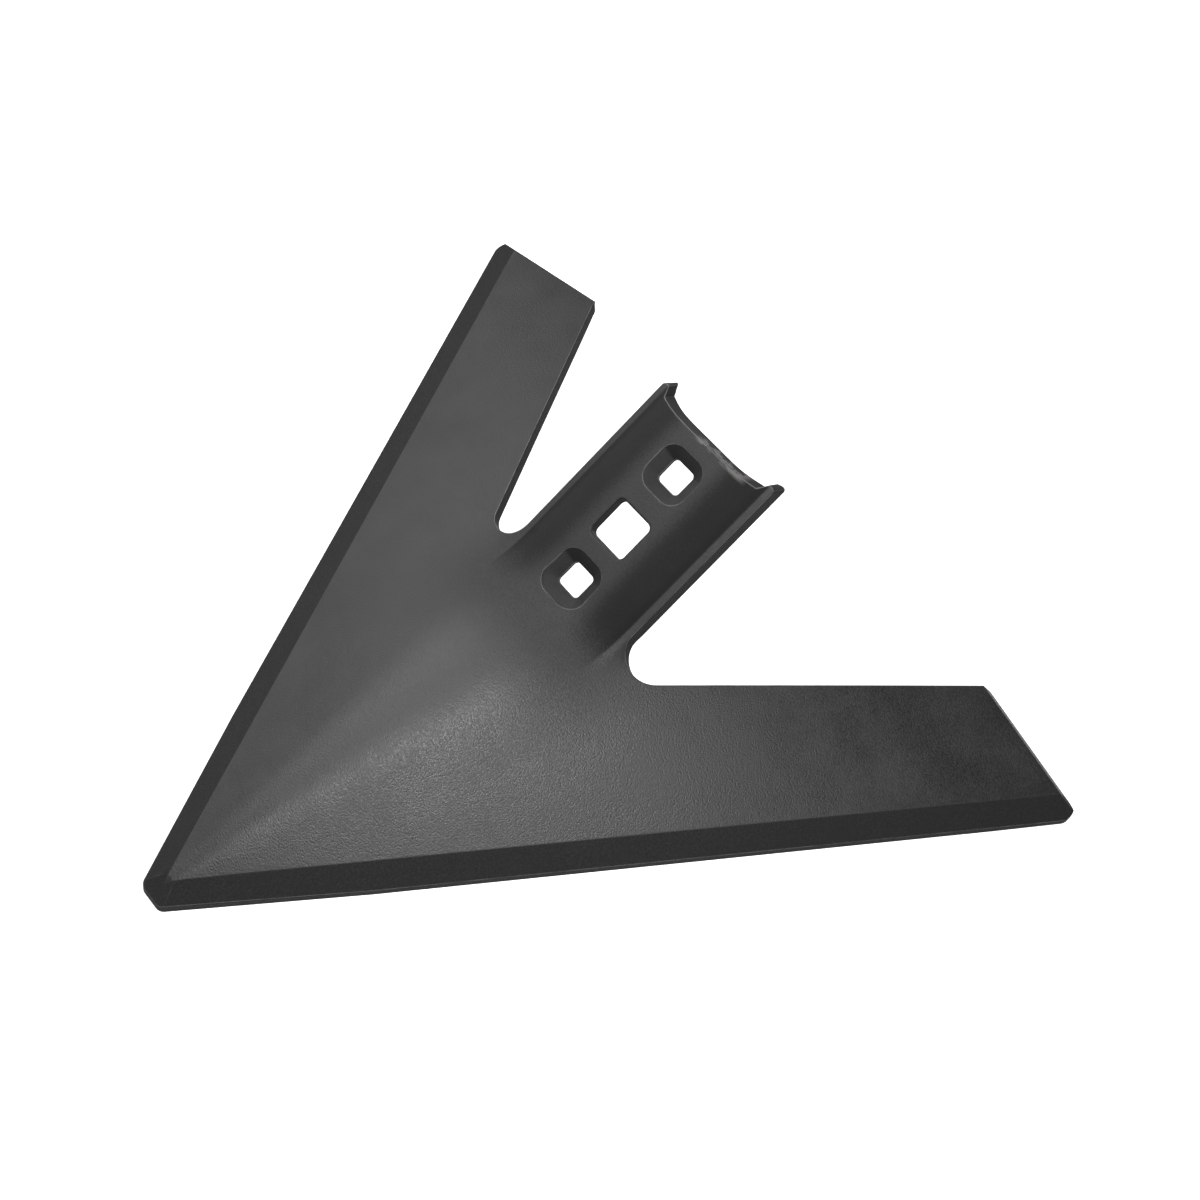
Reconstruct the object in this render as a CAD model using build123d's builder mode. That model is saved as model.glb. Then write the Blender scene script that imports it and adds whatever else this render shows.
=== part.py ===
from build123d import *
from math import cos, pi, radians, sin, sqrt, tan
import os

# A cultivator sweep: one steel plate, sheared to a V and pressed hot, so that a bolt stem rises out of the wings.
# Origin: bottom centre of the part's box. +X right wing, +Y rearward (away from travel), +Z up. Millimetres.

# Plate
plate = 6.35
edge_face = 3.5

# Blade in plan
blade_span = 391.0
apex_angle = 60.0
nose_cut = 13.0
nose_corner = 3.5
nose_narrowing = 1.8
nose_length = 80.0
end_sweep = 4.4
end_width = 64.1
trailing_angle = 31.8
lead_corner = 6.0
rear_corner = 2.5

# Blade in height
bevel_width = 9.6
bevel_top = 9.6
root_slope = 0.52
tip_slope = 0.19
crown_share = 0.28
end_bevel_slope = 1.05
end_face = 1.2

# Stem
stem_angle = 38.8
stem_half_width = 32.8
valley_half_width = 29.2
flat_half_width = 12.0
valley_depth = 5.8
lip_slope = 0.19
bend_radius = 36.0
stem_end = 47.2
end_slant = 21.0
ear_height = 3.6
ear_width = 3.2
ear_lean = 2.5
ear_corner = 2.0
notch_radius = 10.0
shear_tilt = 28.0

# Holes
centre_hole_reach = 229.4
centre_hole_height = 68.6
centre_hole = 18.5
centre_hole_corner = 2.6
centre_hole_lip = 1.0
bolt_spacing = 57.15
centre_shift = 1.1
bolt_square = 11.3
bolt_corner = 2.0
sink_square = 21.5
sink_depth = 4.9
sink_corner = 7.0

half_apex = radians(apex_angle / 2)
gamma = radians(stem_angle)
trailing = radians(trailing_angle)
half_span = blade_span / 2
rear_half_span = half_span - end_width
lead_reach = half_span / tan(half_apex)
end_reach = lead_reach + end_sweep
apex_y = -(nose_cut + end_reach) / 2
bevel_slope = (bevel_top - edge_face) / bevel_width
skirt_slope = 1.5 * cos(gamma)


def lead_x(reach):
    """Half width of the blade at a distance behind the theoretical nose point."""
    return reach * tan(half_apex)


def side_slope(reach):
    """Sideways slope of a wing: steepest at the nose, flatter towards the wing ends."""
    return root_slope + (tip_slope - root_slope) * (reach / end_reach) ** 2


def wing(x, reach):
    """Height of a wing's upper face, with the ridge between the wings rounded."""
    inner_x = lead_x(reach) - bevel_width / cos(half_apex)
    crown = crown_share * lead_x(reach)
    out = x * x / (2 * crown) + crown / 2 if x < crown else x
    return bevel_top + side_slope(reach) * (inner_x - out)


def hat(x):
    """Depth of the stem's front behind its flat middle: shoulder, valley, lip, and a skirt that is cut away."""
    if x < flat_half_width:
        return 0.0
    if x < valley_half_width:
        return valley_depth * ((x - flat_half_width) / (valley_half_width - flat_half_width)) ** 2
    lip = valley_depth + lip_slope * (min(x, stem_half_width) - valley_half_width)
    return lip + skirt_slope * max(x - stem_half_width, 0)


def stem(x, reach):
    """Height of the stem's front face."""
    return centre_hole_height + (reach - centre_hole_reach) * tan(gamma) - hat(x) / cos(gamma)


ridge_slope = wing(0, centre_hole_reach - 30) - wing(0, centre_hole_reach - 31)
mean_slope = (tan(gamma) + ridge_slope) / 2
blend = bend_radius * (tan(gamma) - ridge_slope) ** 2 / (2 * (1 + mean_slope**2) ** 1.5)


def upper(x, y):
    """Height of the upper face: the higher of wing and stem, with a rounded bend between them."""
    low = wing(abs(x), y - apex_y)
    high = stem(abs(x), y - apex_y)
    gap = max(blend - abs(high - low), 0)
    return max(low, high) + gap * gap / (4 * blend)


ball = [(0.0, 0.0, plate)]
for ring in range(1, 17):
    lean = radians(4 * ring)
    for turn in range(30):
        bearing = 2 * pi * turn / 30
        ball.append((plate * sin(lean) * cos(bearing), plate * sin(lean) * sin(bearing), plate * cos(lean)))


def under(x, y):
    """Height of the lower face, one plate thickness from the upper face everywhere."""
    return min(upper(x + dx, y + dy) - dz for dx, dy, dz in ball)


def stations(reach):
    """Sideways places, from the middle to beyond the stem's side, at which a section is measured."""
    valley = min(valley_half_width, 0.1 * valley_half_width + 0.23 * lead_x(reach))
    within = [valley * share for share in (0, 0.22, 0.44, 0.65, 0.85, 0.955, 1)]
    beyond = [valley * share for share in (1.045, 1.1, 1.17, 1.29, 1.43, 1.58, 1.75)]
    return within + beyond


def curve(height, reach):
    """Upper or lower line of a section, across the middle."""
    places = stations(reach)
    knots = [-x for x in places[:0:-1]] + places
    y = apex_y + reach
    return Edge.make_spline([Vector(x, y, height(x, y)) for x in knots], parameters=knots)


def loop(corners):
    """Straight edges joining the given points of one section."""
    return [Edge.make_line(start, stop) for start, stop in zip(corners, corners[1:])]


def side(reach, inner, way):
    """Corners of a wing's section: upper inner, upper outer, lower outer, lower inner."""
    y = apex_y + reach
    outer = lead_x(reach) + bevel_width
    return [
        Vector(way * inner, y, upper(inner, y)),
        Vector(way * outer, y, upper(outer, y)),
        Vector(way * outer, y, under(outer, y)),
        Vector(way * inner, y, under(inner, y)),
    ]


def blade_section(reach):
    """Whole section of the blade, in front of the notches."""
    inner = stations(reach)[-1]
    edges = [curve(upper, reach), curve(under, reach)] + loop(side(reach, inner, 1)) + loop(side(reach, inner, -1))
    return Face(Wire(edges))


def stem_section(reach):
    """Section of the stem alone."""
    inner = stations(reach)[-1]
    ends = [side(reach, inner, way) for way in (-1, 1)]
    edges = [curve(upper, reach), curve(under, reach)] + [Edge.make_line(end[0], end[3]) for end in ends]
    return Face(Wire(edges))


def wing_section(reach, way):
    """Section of one wing behind the notch."""
    trail = rear_half_span - (end_reach - reach) * tan(trailing) - 0.6 * plate
    corners = side(reach, max(stations(reach)[-1], trail), way)
    return Face(Wire(loop(corners + corners[:1])))


def on_wing(x, reach):
    """Point of the upper face at a sideways place and a distance behind the theoretical nose point."""
    return Vector(x, apex_y + reach, upper(x, apex_y + reach))


split_reach = centre_hole_reach - centre_hole / 2
front_reach = nose_cut - plate / 2
blade_shares = (0, 0.14, 0.29, 0.43, 0.57, 0.71, 0.81, 0.87, 0.905, 0.943, 0.971, 1)
blade_reaches = [front_reach + share * (split_reach - front_reach) for share in blade_shares]
wing_shares = (0, 0.02, 0.045, 0.09, 0.25, 0.5, 0.75, 1)
wing_reaches = [split_reach + share * (end_reach + plate / 2 - split_reach) for share in wing_shares]
nose_x = lead_x(nose_cut) - nose_narrowing
nose_y = apex_y + nose_cut
lead_y = apex_y + lead_reach
end_y = apex_y + end_reach
stem_axis = Vector(0, cos(gamma), sin(gamma))
stem_face = Vector(0, -sin(gamma), cos(gamma))
centre = Vector(0, apex_y + centre_hole_reach, centre_hole_height)

shear = Plane((0, 0, 0), x_dir=(1, 0, 0), z_dir=(0, -sin(radians(shear_tilt)), cos(radians(shear_tilt))))
rear_mark = shear.to_local_coords(on_wing(rear_half_span, end_reach))
trail_back = end_reach - centre_hole_reach + 1.5 * notch_radius
front_mark = shear.to_local_coords(
    on_wing(rear_half_span - trail_back * tan(trailing), end_reach - trail_back)
)
trail_way = (rear_mark - front_mark).normalized()
trail_far = rear_mark + trail_way * 6 * notch_radius
trail_near = front_mark - trail_way * ((front_mark.X - stem_half_width) / trail_way.X)

end_lean = radians(stem_angle + end_slant)
stem_top = Plane(
    centre + stem_axis * stem_end, x_dir=(1, 0, 0), z_dir=(0, -sin(end_lean), cos(end_lean))
)

bevel_reach = 1.5 * bevel_width * sqrt(1 + bevel_slope**2)


def bevel_plane(way):
    """Plane of the bevel along one leading edge."""
    along = Vector(way * sin(half_apex), cos(half_apex), 0)
    inwards = Vector(-way * cos(half_apex), sin(half_apex), bevel_slope)
    face = along.cross(inwards)
    return Plane((0, apex_y, edge_face), x_dir=along, z_dir=face if face.Z > 0 else -face)


hole_face = Plane(centre, x_dir=(1, 0, 0), z_dir=stem_face)
nose_plane = Plane((0, nose_y, edge_face), x_dir=(1, 0, 0), z_dir=(0, -bevel_slope, 1))


def end_plane(way):
    """Plane of the bevel across one wing end, following the plate from its leading to its trailing corner."""
    lead = Vector(way * half_span, lead_y, under(half_span, lead_y) + end_face)
    rear = Vector(way * rear_half_span, end_y, under(rear_half_span, end_y) + end_face)
    along = (rear - lead) * way
    face = along.cross(Vector(0, -1, end_bevel_slope))
    return Plane(lead + (rear - lead) / 2, x_dir=along, z_dir=face if face.Z > 0 else -face)


def on_lip(point):
    """Whether a point lies on the front edge of the centre hole."""
    local = hole_face.to_local_coords(point)
    return max(abs(local.X), abs(local.Y)) < centre_hole / 2 + 0.1 and abs(local.Z) < plate / 2


def on_ear(point):
    """Whether a point lies on the outer corner of an ear at the stem's end."""
    local = stem_top.to_local_coords(point)
    return abs(abs(local.X) - stem_half_width) < 0.1 and abs(local.Y - ear_height) < 0.1


rear_cut = 2 * rear_corner
with BuildSketch() as plan:
    Polygon(
        (0, nose_y),
        (nose_x, nose_y),
        (lead_x(nose_length), apex_y + nose_length),
        (half_span, lead_y),
        (rear_half_span, end_y),
        (rear_half_span - rear_cut * sin(trailing), end_y - rear_cut * cos(trailing)),
        (rear_half_span - 3 * rear_cut, end_y - rear_cut),
        (0, end_y - rear_cut),
        align=None,
    )
    fillet(plan.vertices().sort_by_distance((nose_x, nose_y))[0], nose_corner)
    fillet(plan.vertices().sort_by_distance((half_span, lead_y))[0], lead_corner)
    fillet(plan.vertices().sort_by_distance((rear_half_span, end_y))[0], rear_corner)
    mirror(about=Plane.YZ)

bolt_places = [(0, centre_shift - bolt_spacing / 2), (0, centre_shift + bolt_spacing / 2)]
mouth = plate / 20
with BuildPart() as sink_tool:
    # Countersink for a plough bolt, running straight on above the stem's face where the bend rises beside it
    with BuildSketch(hole_face.offset(mouth)) as sinks:
        with Locations(*bolt_places):
            RectangleRounded(sink_square + 2 * mouth, sink_square + 2 * mouth, sink_corner + mouth)
    extrude(amount=-mouth - sink_depth, taper=45)
    extrude(sinks.sketch, amount=2 * plate)

with BuildPart() as sweep:
    loft([blade_section(reach) for reach in blade_reaches])
    for way in (-1, 1):
        loft([wing_section(reach, way) for reach in wing_reaches])
    extrude(stem_section(split_reach), amount=2 * stem_end + centre_hole, dir=stem_axis)
    # Sheared along the nose, the leading edges and the wing ends
    with BuildSketch(Plane.XY.offset(-half_span)) as surround:
        Rectangle(2 * blade_span, 2 * blade_span)
        add(plan.sketch, mode=Mode.SUBTRACT)
    extrude(amount=blade_span, mode=Mode.SUBTRACT)
    # Sheared away between wings and stem, with a round notch on each side of the stem
    with BuildSketch(shear.offset(-half_span)) as gap:
        Polygon(
            (stem_half_width, trail_near.Y),
            (trail_far.X, trail_far.Y),
            (stem_half_width, trail_far.Y),
            align=None,
        )
        fillet(gap.vertices().sort_by(Axis.Y)[0], notch_radius)
        mirror(about=Plane.YZ)
    extrude(amount=blade_span, mode=Mode.SUBTRACT)
    # End of the stem, with an ear left at each corner
    with BuildSketch(stem_top.offset(-half_span)) as end_cut:
        Polygon(
            (-2 * stem_half_width, half_span),
            (-2 * stem_half_width, ear_height),
            (-stem_half_width + ear_width, ear_height),
            (-stem_half_width + ear_width + ear_lean, 0),
            (stem_half_width - ear_width - ear_lean, 0),
            (stem_half_width - ear_width, ear_height),
            (2 * stem_half_width, ear_height),
            (2 * stem_half_width, half_span),
            align=None,
        )
    extrude(amount=blade_span, mode=Mode.SUBTRACT)
    fillet(sweep.edges().filter_by(lambda edge: on_ear(edge @ 0) and on_ear(edge @ 1)), ear_corner)
    # Cutting edge made level underneath
    with BuildSketch(Plane.XY) as ground:
        Rectangle(2 * blade_span, 2 * blade_span)
    extrude(amount=-4 * plate, mode=Mode.SUBTRACT)
    # Bevels along both leading edges and across the nose
    for bevel in (bevel_plane(1), bevel_plane(-1)):
        with BuildSketch(bevel) as bevel_cut:
            with Locations((half_span, bevel_reach / 2 - bevel_width)):
                Rectangle(4 * half_span, bevel_reach + 2 * bevel_width)
        extrude(amount=6 * bevel_width, mode=Mode.SUBTRACT)
    with BuildSketch(nose_plane) as nose_bevel:
        with Locations((0, bevel_reach / 2 - bevel_width / 2)):
            Rectangle(6 * nose_x, bevel_reach + bevel_width)
    extrude(amount=4 * bevel_width, mode=Mode.SUBTRACT)
    # Steeper bevels across the wing ends
    for way in (-1, 1):
        with BuildSketch(end_plane(way)) as end_bevel:
            Rectangle(2 * end_width, 5 * plate)
        extrude(amount=6 * bevel_width, mode=Mode.SUBTRACT)
    # Square holes through the stem, sunk for the heads of the plough bolts
    with BuildSketch(hole_face) as centre_square:
        RectangleRounded(centre_hole, centre_hole, centre_hole_corner)
    extrude(amount=2 * plate, both=True, mode=Mode.SUBTRACT)
    with BuildSketch(hole_face) as bolt_squares:
        with Locations(*bolt_places):
            RectangleRounded(bolt_square, bolt_square, bolt_corner)
    extrude(amount=2 * plate, both=True, mode=Mode.SUBTRACT)
    lip = sweep.edges().filter_by(lambda edge: on_lip(edge @ 0) and on_lip(edge @ 1))
    fillet(lip, centre_hole_lip)
    add(sink_tool.part, mode=Mode.SUBTRACT)

sweep.part.label = "sweep"
os.makedirs("parts", exist_ok=True)
export_step(sweep.part, "parts/sweep.step")
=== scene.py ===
"""Cultivator sweep: the painted steel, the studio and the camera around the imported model."""

from math import cos, radians, sin

import bpy
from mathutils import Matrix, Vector

bl_info = {
    "name": "Cultivator Sweep Studio",
    "version": (1, 0, 0),
    "blender": (4, 5, 0),
    "location": "View3D > Sidebar > Sweep",
    "description": "Paints a pressed steel cultivator sweep and sets it in a plain studio",
    "category": "Object",
}

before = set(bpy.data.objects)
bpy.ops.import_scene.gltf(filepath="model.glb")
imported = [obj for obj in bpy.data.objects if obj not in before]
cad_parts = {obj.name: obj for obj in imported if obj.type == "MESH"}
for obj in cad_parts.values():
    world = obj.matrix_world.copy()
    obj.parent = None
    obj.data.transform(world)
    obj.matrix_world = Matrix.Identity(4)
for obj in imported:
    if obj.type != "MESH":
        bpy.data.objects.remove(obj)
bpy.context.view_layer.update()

# The sweep's own edges, in metres and radians. Its leading edges would meet at the apex, ahead of the nose
HALF_APEX = radians(30.0)
APEX_Y = -0.178
BEVEL_WIDTH = 0.0096
STEM_ANGLE = radians(38.8)
STEM_REACH = 0.1315
STEM_HALF_WIDTH = 0.036

# Directions in from the right leading edge and up along the stem, and how far in that edge lies
INWARD = (-cos(HALF_APEX), sin(HALF_APEX), 0.0)
UP_STEM = (0.0, cos(STEM_ANGLE), sin(STEM_ANGLE))
LEADING_EDGE = APEX_Y * sin(HALF_APEX)

# Limits of the finishes, of the painted shade and of the painted shadow in metres: where each starts to
# show, and where it shows in full
BEVEL_INNER = (BEVEL_WIDTH + 0.0003, BEVEL_WIDTH - 0.0003)
STEM_FOOT_Y = (0.01, 0.035)
HOLLOW_INNER = (0.009, 0.022)
HOLLOW_OUTER = (0.0305, 0.0295)
CREASE_INNER = (0.026, 0.0292)
CREASE_OUTER = (0.0302, 0.0293)
BEND_Y = (-0.03, 0.015)
BEND_OUTER = (0.06, 0.02)
STEM_END = (STEM_REACH - 0.0032, STEM_REACH - 0.0012)
STEM_SIDE = (STEM_HALF_WIDTH + 0.001, STEM_HALF_WIDTH)
SCUFF_LEFT_X = (-0.006, 0.0)
SCUFF_RIGHT_X = (0.024, 0.019)

# The same for how far a face looks up, which is one on a level face and nought on an upright one. Upright
# faces get painted shade, upper faces' edges a painted highlight
UPRIGHT_SHADE_FACES = (0.5, 0.35)
UPPER_FACES = (0.45, 0.6)

# The same for how far the rounded normal agrees with the sharp one, which places the painted edge
# highlight, and for the noise of the scuffed patches
EDGE_TURN = (0.98, 0.88)
SCUFF_PATCH = (0.5, 0.6)

# Sizes of the patterns in metres: how wide the patches are that break up the painted edge highlight and the
# scuffs, and the clouds in the spray, and how deep its dimples, which are drawn deeper than real ones so
# that they show
HIGHLIGHT_AND_SCUFF_PATCH = 0.00909
SPRAY_CLOUD = 0.0222
GRAIN_DEPTH = 0.0002

# How strongly the bend, the hollow and the dry paint depart from the open paint: the bend by a painted
# shadow of the stem, and all three by roughness
BEND_PAINTED_SHADOW = 0.6
HOLLOW_DRYNESS = 0.85
DRY_ROUGHNESS = 0.46
BEND_ROUGHNESS = 0.22

# Studio: lamps in metres and watts, and brightness as a share of paper white. The horizon is how high a ray
# rises, as a part of its length, before the backdrop has faded into the ceiling
LAMP_TARGET = Vector((0.0, 0.0, 0.03))
LAMPS = {
    "key_lamp": {"place": Vector((0.186, -0.096, 0.5)), "side": 0.15, "power": 2.0},
    "side_lamp": {"place": Vector((-0.36, 0.035, 0.5)), "side": 0.56, "power": 2.8},
}
FLOOR_GLOW = 0.9
FLOOR_MIRRORED = 0.1
CEILING = 0.1
HORIZON = 0.1
WHITE = (1.0, 1.0, 1.0, 1.0)


def linear(hex_colour):
    """Linear RGBA of an sRGB hex colour."""
    values = [int(hex_colour[start : start + 2], 16) / 255 for start in (1, 3, 5)]
    return [v / 12.92 if v <= 0.04045 else ((v + 0.055) / 1.055) ** 2.4 for v in values] + [1.0]


def add_node(tree, kind, settings=(), inputs=()):
    """Adds a node with its settings, and sets or links its inputs."""
    node = tree.nodes.new(kind)
    for key, value in dict(settings).items():
        setattr(node, key, value)
    for key, value in dict(inputs).items():
        if isinstance(value, bpy.types.NodeSocket):
            tree.links.new(value, node.inputs[key])
        else:
            node.inputs[key].default_value = value
    return node


def zone_share(tree, *limits, whole=1.0):
    """How much of a finish, a scuff, painted shade or a painted highlight shows: the whole where every
    value is past the end of its limit, and none where one value hasn't reached the start of it, with a
    smooth run between the two."""
    for value, (start, full) in limits:
        reached = add_node(
            tree,
            "ShaderNodeMapRange",
            {"interpolation_type": "SMOOTHSTEP"},
            {"Value": value, "From Min": start, "From Max": full},
        )
        both = add_node(
            tree, "ShaderNodeMath", {"operation": "MULTIPLY"}, {0: whole, 1: reached.outputs["Result"]}
        )
        whole = both.outputs["Value"]
    return whole


class SweepPaint(bpy.types.PropertyGroup):
    """Colours and sizes of the paint, of its painted shade, shadow and edge highlight, and of its wear."""

    paint_colour: bpy.props.StringProperty(
        name="Paint colour", description="sRGB colour of the satin black paint", default="#252526"
    )
    # Colour of the darker bevels, and of the painted shade in the hollow stem and the painted shadow over
    # the bend
    dark_bevel_and_painted_shade_colour: bpy.props.StringProperty(
        name="Bevel colour",
        description="sRGB colour of the duller paint on the bevels, in the hollow stem and over the bend",
        default="#0E0E0F",
    )
    # Colour of the painted shade on upright faces and in the creases at the foot of the stem's lips
    deep_painted_shade_colour: bpy.props.StringProperty(
        name="Crease colour",
        description="sRGB colour of the sheared edges and of the creases at the foot of the stem's lips",
        default="#040405",
    )
    # Colour of the painted highlight along the upper edges
    painted_edge_highlight_colour: bpy.props.StringProperty(
        name="Worn colour",
        description="sRGB colour where the paint lies thin over an edge",
        default="#787877",
    )
    steel_colour: bpy.props.StringProperty(
        name="Steel colour",
        description="sRGB colour of the steel where the paint is scuffed",
        default="#6B6A68",
    )
    grain_size: bpy.props.FloatProperty(
        name="Grain size",
        description="Distance between the dimples of the sprayed paint",
        default=0.0007,
        subtype="DISTANCE",
        unit="LENGTH",
    )
    edge_round: bpy.props.FloatProperty(
        name="Edge rounding",
        description="Radius that the paint gives to the sheared edges",
        default=0.0012,
        subtype="DISTANCE",
        unit="LENGTH",
    )


class SweepStudio(bpy.types.PropertyGroup):
    """Camera and floor."""

    camera_place: bpy.props.FloatVectorProperty(
        name="Camera place",
        description="Where the camera stands",
        default=(0.2327, -0.2902, 0.6002),
        subtype="TRANSLATION",
        unit="LENGTH",
    )
    camera_turn: bpy.props.FloatVectorProperty(
        name="Camera turn",
        description="Turn of the camera about X, Y and Z",
        default=(0.5935, -0.1815, 0.8564),
        subtype="EULER",
        unit="ROTATION",
    )
    lens: bpy.props.FloatProperty(
        name="Lens", description="Focal length in millimetres", default=51.0, unit="CAMERA"
    )
    floor_colour: bpy.props.StringProperty(
        name="Floor colour", description="sRGB colour of floor and background", default="#FEFEFE"
    )
    floor_size: bpy.props.FloatProperty(
        name="Floor size",
        description="Side of the floor",
        default=12.0,
        subtype="DISTANCE",
        unit="LENGTH",
    )


def bevel_and_painted_shade_zones(tree, axes, off_middle, upward):
    """Where the paint differs: darker on the bevels, painted shade in the hollow stem, a painted shadow of
    the stem over the bend, and painted shade in the creases beside the stem's lips and on the upright
    sheared edges. The two halves of the sweep are alike, so a place counts by its distance from the middle."""
    half = add_node(
        tree, "ShaderNodeCombineXYZ", {}, {"X": off_middle, "Y": axes["Y"], "Z": axes["Z"]}
    ).outputs["Vector"]
    across = add_node(tree, "ShaderNodeVectorMath", {"operation": "DOT_PRODUCT"}, {0: half, 1: INWARD})
    from_edge = add_node(
        tree, "ShaderNodeMath", {"operation": "SUBTRACT"}, {0: across.outputs["Value"], 1: LEADING_EDGE}
    ).outputs["Value"]
    level = add_node(tree, "ShaderNodeMath", {"operation": "ABSOLUTE"}, {0: upward}).outputs["Value"]
    stem = zone_share(tree, (axes["Y"], STEM_FOOT_Y))
    return {
        "bevel": zone_share(tree, (from_edge, BEVEL_INNER)),
        # Painted shade in the hollow of the stem
        "hollow": zone_share(tree, (off_middle, HOLLOW_INNER), (off_middle, HOLLOW_OUTER), whole=stem),
        # Painted shadow of the stem over the bend
        "bend": zone_share(tree, (axes["Y"], BEND_Y), (off_middle, BEND_OUTER)),
        # Painted shade in the creases at the foot of the stem's lips
        "crease": zone_share(tree, (off_middle, CREASE_INNER), (off_middle, CREASE_OUTER), whole=stem),
        # Painted shade on upright faces
        "sheared": zone_share(tree, (level, UPRIGHT_SHADE_FACES)),
    }


def painted_highlight_and_scuff_zones(tree, place, axes, off_middle, upward, rounded):
    """Where a painted highlight runs along the upper edges, and where the paint is scuffed off the stem's
    end.
    """
    patches = add_node(
        tree,
        "ShaderNodeTexNoise",
        {},
        {"Vector": place, "Scale": 1 / HIGHLIGHT_AND_SCUFF_PATCH, "Detail": 4.0, "Roughness": 0.6},
    ).outputs["Fac"]
    patchy = add_node(
        tree,
        "ShaderNodeMapRange",
        {"interpolation_type": "SMOOTHSTEP"},
        {"Value": patches, "From Min": 0.3, "From Max": 0.6, "To Min": 0.35, "To Max": 1.0},
    ).outputs["Result"]
    sharp = add_node(tree, "ShaderNodeNewGeometry").outputs["Normal"]
    turn = add_node(
        tree, "ShaderNodeVectorMath", {"operation": "DOT_PRODUCT"}, {0: rounded, 1: sharp}
    ).outputs["Value"]
    up_stem = add_node(
        tree, "ShaderNodeVectorMath", {"operation": "DOT_PRODUCT"}, {0: place, 1: UP_STEM}
    ).outputs["Value"]
    return {
        # Painted highlight along the edges of upper faces, broken into patches
        "edge": zone_share(tree, (upward, UPPER_FACES), (turn, EDGE_TURN), whole=patchy),
        "scuff": zone_share(
            tree,
            (up_stem, STEM_END),
            (off_middle, STEM_SIDE),
            (axes["X"], SCUFF_LEFT_X),
            (axes["X"], SCUFF_RIGHT_X),
            (patches, SCUFF_PATCH),
        ),
    }


def coated_colour(tree, sizes, zones, painted_highlight_and_scuff, cloud, grain):
    """Colour of the paint: the open paint, the darker bevels and the painted shade and shadow over it,
    their light and dark clouds and dimples, and the painted edge highlight and the scuffs on top."""
    # Part strength of the painted shadow over the bend
    bend = add_node(
        tree, "ShaderNodeMath", {"operation": "MULTIPLY"}, {0: zones["bend"], 1: BEND_PAINTED_SHADOW}
    ).outputs["Value"]
    clouds = add_node(
        tree,
        "ShaderNodeMapRange",
        {"interpolation_type": "SMOOTHSTEP"},
        {"Value": cloud, "From Min": 0.3, "From Max": 0.7, "To Min": 0.75, "To Max": 1.25},
    )
    dimples = add_node(
        tree,
        "ShaderNodeMapRange",
        {"interpolation_type": "SMOOTHSTEP"},
        {"Value": grain, "From Min": 0.25, "From Max": 0.75, "To Min": 0.6, "To Max": 1.4},
    )
    shade = add_node(
        tree,
        "ShaderNodeMath",
        {"operation": "MULTIPLY"},
        {0: clouds.outputs["Result"], 1: dimples.outputs["Result"]},
    )
    coats = (
        # Darker colour on the bevels
        ("MIX", zones["bevel"], linear(sizes.dark_bevel_and_painted_shade_colour)),
        # Painted shade in the hollow stem
        ("MIX", zones["hollow"], linear(sizes.dark_bevel_and_painted_shade_colour)),
        # Painted shadow of the stem over the bend
        ("MIX", bend, linear(sizes.dark_bevel_and_painted_shade_colour)),
        # Painted shade on upright faces
        ("MIX", zones["sheared"], linear(sizes.deep_painted_shade_colour)),
        # Painted shade in the creases beside the stem's lips
        ("MIX", zones["crease"], linear(sizes.deep_painted_shade_colour)),
        ("MULTIPLY", 1.0, shade.outputs["Value"]),
        # Painted highlight along the upper edges
        ("MIX", painted_highlight_and_scuff["edge"], linear(sizes.painted_edge_highlight_colour)),
        ("MIX", painted_highlight_and_scuff["scuff"], linear(sizes.steel_colour)),
    )
    colour = linear(sizes.paint_colour)
    for blend, share, coat in coats:
        colour = add_node(
            tree,
            "ShaderNodeMix",
            {"data_type": "RGBA", "blend_type": blend},
            {"Factor": share, "A": colour, "B": coat},
        ).outputs["Result"]
    return colour


def coated_roughness(tree, zones, cloud, grain):
    """Roughness of the paint: satin in the open, and dry on the bevels, on the sheared edges and in the
    hollow stem."""
    hollow = add_node(
        tree, "ShaderNodeMath", {"operation": "MULTIPLY"}, {0: zones["hollow"], 1: HOLLOW_DRYNESS}
    ).outputs["Value"]
    dry = zones["bevel"]
    for zone in (zones["sheared"], hollow):
        drier = add_node(tree, "ShaderNodeMath", {"operation": "MAXIMUM"}, {0: dry, 1: zone})
        dry = drier.outputs["Value"]
    roughness = add_node(
        tree,
        "ShaderNodeMapRange",
        {"interpolation_type": "SMOOTHSTEP"},
        {"Value": cloud, "From Min": 0.3, "From Max": 0.7, "To Min": 0.45, "To Max": 0.52},
    ).outputs["Result"]
    dimples = add_node(
        tree,
        "ShaderNodeMapRange",
        {"interpolation_type": "SMOOTHSTEP"},
        {"Value": grain, "From Min": 0.3, "From Max": 0.7, "To Min": -0.09, "To Max": 0.09},
    ).outputs["Result"]
    for zone, extra in ((dry, DRY_ROUGHNESS), (zones["bend"], BEND_ROUGHNESS), (dimples, 1.0)):
        roughness = add_node(
            tree, "ShaderNodeMath", {"operation": "MULTIPLY_ADD"}, {0: zone, 1: extra, 2: roughness}
        ).outputs["Value"]
    return roughness


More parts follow.
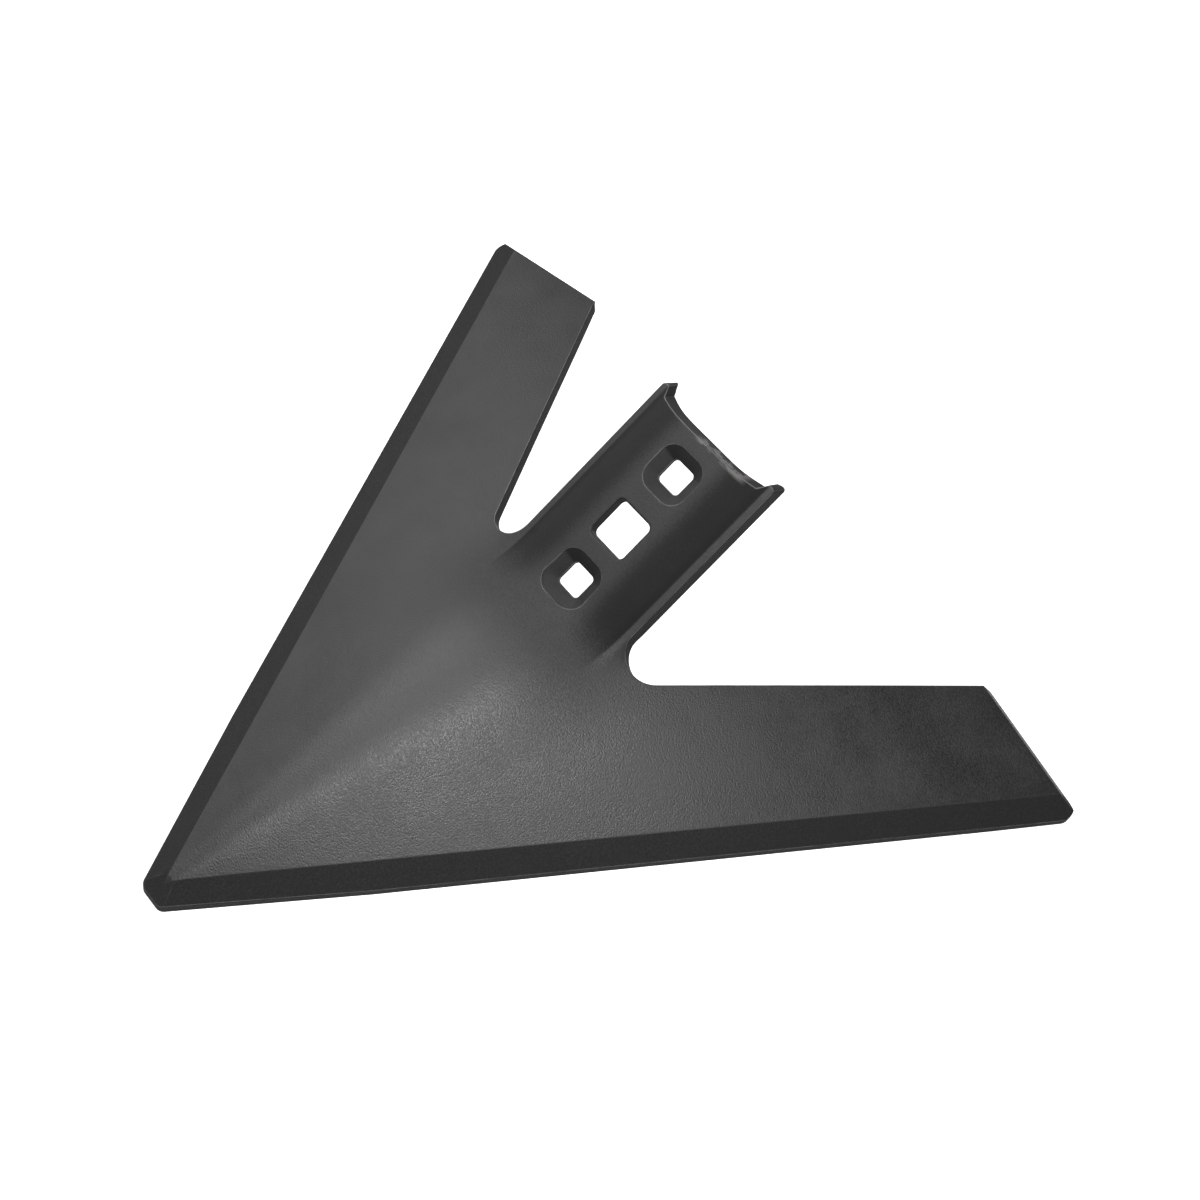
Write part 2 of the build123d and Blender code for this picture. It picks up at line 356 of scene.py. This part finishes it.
def satin_black_paint(sizes):
    """Hot-pressed spring steel, sprayed with one coat of satin black paint. The eye gets soft highlights,
    broken by a fine dimpled grain, duller and darker bands on the bevels, duller paint with painted shade
    in the hollow stem, painted shade on upright faces and in the creases, a painted shadow over the bend,
    painted highlights along the upper edges, and bare steel where the stem's end is scuffed."""
    material = bpy.data.materials.new("satin_black_paint")
    material.use_nodes = True
    tree = material.node_tree
    tree.nodes.clear()
    coordinates = add_node(tree, "ShaderNodeTexCoord").outputs
    place = coordinates["Object"]
    axes = add_node(tree, "ShaderNodeSeparateXYZ", {}, {"Vector": place}).outputs
    off_middle = add_node(
        tree, "ShaderNodeMath", {"operation": "ABSOLUTE"}, {0: axes["X"]}
    ).outputs["Value"]
    upward = add_node(tree, "ShaderNodeSeparateXYZ", {}, {"Vector": coordinates["Normal"]}).outputs["Z"]
    rounded = add_node(
        tree, "ShaderNodeBevel", {"samples": 8}, {"Radius": sizes.edge_round}
    ).outputs["Normal"]
    # Clouds of thicker and thinner spray, about a thumb's width across
    cloud = add_node(
        tree,
        "ShaderNodeTexNoise",
        {},
        {"Vector": place, "Scale": 1 / SPRAY_CLOUD, "Detail": 5.0, "Roughness": 0.6},
    ).outputs["Fac"]
    # Real spray grain, some 0.2 mm apart, is too fine to show in the render, so it is drawn coarser
    grain = add_node(
        tree,
        "ShaderNodeTexNoise",
        {},
        {"Vector": place, "Scale": 1 / sizes.grain_size, "Detail": 2.0, "Roughness": 0.6},
    ).outputs["Fac"]
    dimpled = add_node(
        tree,
        "ShaderNodeBump",
        {},
        {"Strength": 0.9, "Distance": GRAIN_DEPTH, "Height": grain, "Normal": rounded},
    )
    zones = bevel_and_painted_shade_zones(tree, axes, off_middle, upward)
    painted_highlight_and_scuff = painted_highlight_and_scuff_zones(tree, place, axes, off_middle, upward, rounded)
    # The IOR is typical of paint. The specular level, over the usual 0.5, is matched to the real highlights
    surface = add_node(
        tree,
        "ShaderNodeBsdfPrincipled",
        {},
        {
            "Base Color": coated_colour(tree, sizes, zones, painted_highlight_and_scuff, cloud, grain),
            "Roughness": coated_roughness(tree, zones, cloud, grain),
            "Normal": dimpled.outputs["Normal"],
            "IOR": 1.5,
            "Specular IOR Level": 0.8,
        },
    )
    add_node(tree, "ShaderNodeOutputMaterial", {}, {"Surface": surface.outputs["BSDF"]})
    return material


class OBJECT_OT_paint_sweep(bpy.types.Operator):
    """Paints the sweep satin black"""

    bl_idname = "object.paint_sweep"
    bl_label = "Paint Sweep"

    def execute(self, context):
        paint = satin_black_paint(context.scene.sweep_paint)
        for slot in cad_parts["sweep"].material_slots:
            slot.material = paint
        return {"FINISHED"}


def seen_rays(tree, mirrored):
    """One for rays that see the studio straight, and a share for those that see it mirrored or through."""
    path = add_node(tree, "ShaderNodeLightPath").outputs
    indirect = add_node(
        tree,
        "ShaderNodeMath",
        {"operation": "MAXIMUM"},
        {0: path["Is Glossy Ray"], 1: path["Is Transmission Ray"]},
    ).outputs["Value"]
    share = add_node(
        tree, "ShaderNodeMath", {"operation": "MULTIPLY"}, {0: indirect, 1: mirrored}
    ).outputs["Value"]
    return add_node(
        tree, "ShaderNodeMath", {"operation": "MAXIMUM"}, {0: path["Is Camera Ray"], 1: share}
    ).outputs["Value"]


def matt_studio_floor(colour):
    """Matt white studio paper. The eye gets an even white that runs into the backdrop, with no shine and
    only a faint shadow close under the sweep, which shows from the side."""
    material = bpy.data.materials.new("matt_studio_floor")
    material.use_nodes = True
    tree = material.node_tree
    tree.nodes.clear()
    matt = add_node(tree, "ShaderNodeBsdfDiffuse", {}, {"Color": linear(colour)})
    glow = add_node(tree, "ShaderNodeEmission", {}, {"Color": linear(colour), "Strength": FLOOR_GLOW})
    bright = add_node(
        tree, "ShaderNodeAddShader", {}, {0: matt.outputs["BSDF"], 1: glow.outputs["Emission"]}
    )
    surface = add_node(
        tree,
        "ShaderNodeMixShader",
        {},
        {0: seen_rays(tree, FLOOR_MIRRORED), 1: matt.outputs["BSDF"], 2: bright.outputs["Shader"]},
    )
    add_node(tree, "ShaderNodeOutputMaterial", {}, {"Surface": surface.outputs["Shader"]})
    return material


class OBJECT_OT_sweep_stage(bpy.types.Operator):
    """Adds the floor, the lamps and the camera"""

    bl_idname = "object.sweep_stage"
    bl_label = "Add Stage"

    def execute(self, context):
        sizes = context.scene.sweep_studio
        self.add_floor(sizes)
        self.light_world(context, sizes)
        self.add_lamps()
        self.add_camera(context, sizes)
        return {"FINISHED"}

    def add_floor(self, sizes):
        """Level floor under the sweep."""
        bpy.ops.object.select_all(action="DESELECT")
        bpy.ops.mesh.primitive_plane_add(size=sizes.floor_size, location=(0, 0, 0))
        floor = bpy.context.object
        floor.name = "floor"
        floor.data.materials.append(matt_studio_floor(sizes.floor_colour))

    def light_world(self, context, sizes):
        """Dim soft light from all round. The camera sees a white backdrop. Reflections see it white near
        the horizon and dim overhead, so that the black paint stays black."""
        world = bpy.data.worlds.new("studio")
        context.scene.world = world
        world.use_nodes = True
        tree = world.node_tree
        tree.nodes.clear()
        direction = add_node(tree, "ShaderNodeTexCoord").outputs["Generated"]
        height = add_node(tree, "ShaderNodeSeparateXYZ", {}, {"Vector": direction}).outputs["Z"]
        fading = add_node(
            tree,
            "ShaderNodeMapRange",
            {"interpolation_type": "SMOOTHSTEP"},
            {"Value": height, "From Min": 0.0, "From Max": HORIZON, "To Min": 1.0, "To Max": CEILING},
        ).outputs["Result"]
        camera_ray = add_node(tree, "ShaderNodeLightPath").outputs["Is Camera Ray"]
        backdrop = add_node(
            tree, "ShaderNodeMath", {"operation": "MAXIMUM"}, {0: camera_ray, 1: fading}
        ).outputs["Value"]
        soft = add_node(tree, "ShaderNodeBackground", {}, {"Color": WHITE, "Strength": CEILING})
        seen = add_node(
            tree, "ShaderNodeBackground", {}, {"Color": linear(sizes.floor_colour), "Strength": backdrop}
        )
        mix = add_node(
            tree,
            "ShaderNodeMixShader",
            {},
            {0: seen_rays(tree, 1.0), 1: soft.outputs["Background"], 2: seen.outputs["Background"]},
        )
        add_node(tree, "ShaderNodeOutputWorld", {}, {"Surface": mix.outputs["Shader"]})

    def add_lamps(self):
        """Soft square lamps that shine on the sweep and stay out of the picture."""
        for name, sizes in LAMPS.items():
            bpy.ops.object.light_add(type="AREA", location=sizes["place"])
            lamp = bpy.context.object
            lamp.name = name
            lamp.data.shape = "SQUARE"
            lamp.data.size = sizes["side"]
            lamp.data.energy = sizes["power"]
            lamp.visible_camera = False
            lamp.rotation_euler = (LAMP_TARGET - sizes["place"]).to_track_quat("-Z", "Y").to_euler()

    def add_camera(self, context, sizes):
        """Camera that looks down on the sweep from ahead of its nose and to the right."""
        bpy.ops.object.camera_add(location=sizes.camera_place, rotation=sizes.camera_turn)
        camera = bpy.context.object
        camera.name = "camera"
        camera.data.sensor_fit = "HORIZONTAL"
        camera.data.sensor_width = 36.0
        camera.data.lens = sizes.lens
        camera.data.clip_start = 0.01
        context.scene.camera = camera


class VIEW3D_PT_sweep(bpy.types.Panel):
    """Sweep tools in the sidebar"""

    bl_label = "Cultivator Sweep"
    bl_idname = "VIEW3D_PT_sweep"
    bl_space_type = "VIEW_3D"
    bl_region_type = "UI"
    bl_category = "Sweep"

    def draw(self, context):
        scene = context.scene
        groups = (
            (scene.sweep_paint, SweepPaint, OBJECT_OT_paint_sweep),
            (scene.sweep_studio, SweepStudio, OBJECT_OT_sweep_stage),
        )
        for sizes, group, operator in groups:
            for name in group.__annotations__:
                self.layout.prop(sizes, name)
            self.layout.operator(operator.bl_idname)


CLASSES = (SweepPaint, SweepStudio, OBJECT_OT_paint_sweep, OBJECT_OT_sweep_stage, VIEW3D_PT_sweep)


def register():
    for cls in CLASSES:
        bpy.utils.register_class(cls)
    bpy.types.Scene.sweep_paint = bpy.props.PointerProperty(type=SweepPaint)
    bpy.types.Scene.sweep_studio = bpy.props.PointerProperty(type=SweepStudio)


def unregister():
    del bpy.types.Scene.sweep_studio
    del bpy.types.Scene.sweep_paint
    for cls in reversed(CLASSES):
        bpy.utils.unregister_class(cls)


def main():
    """Dresses the sweep and sets the stage."""
    register()
    bpy.ops.object.paint_sweep()
    bpy.ops.object.sweep_stage()
    bpy.context.scene.view_settings.view_transform = "Standard"


if __name__ == "__main__":
    main()
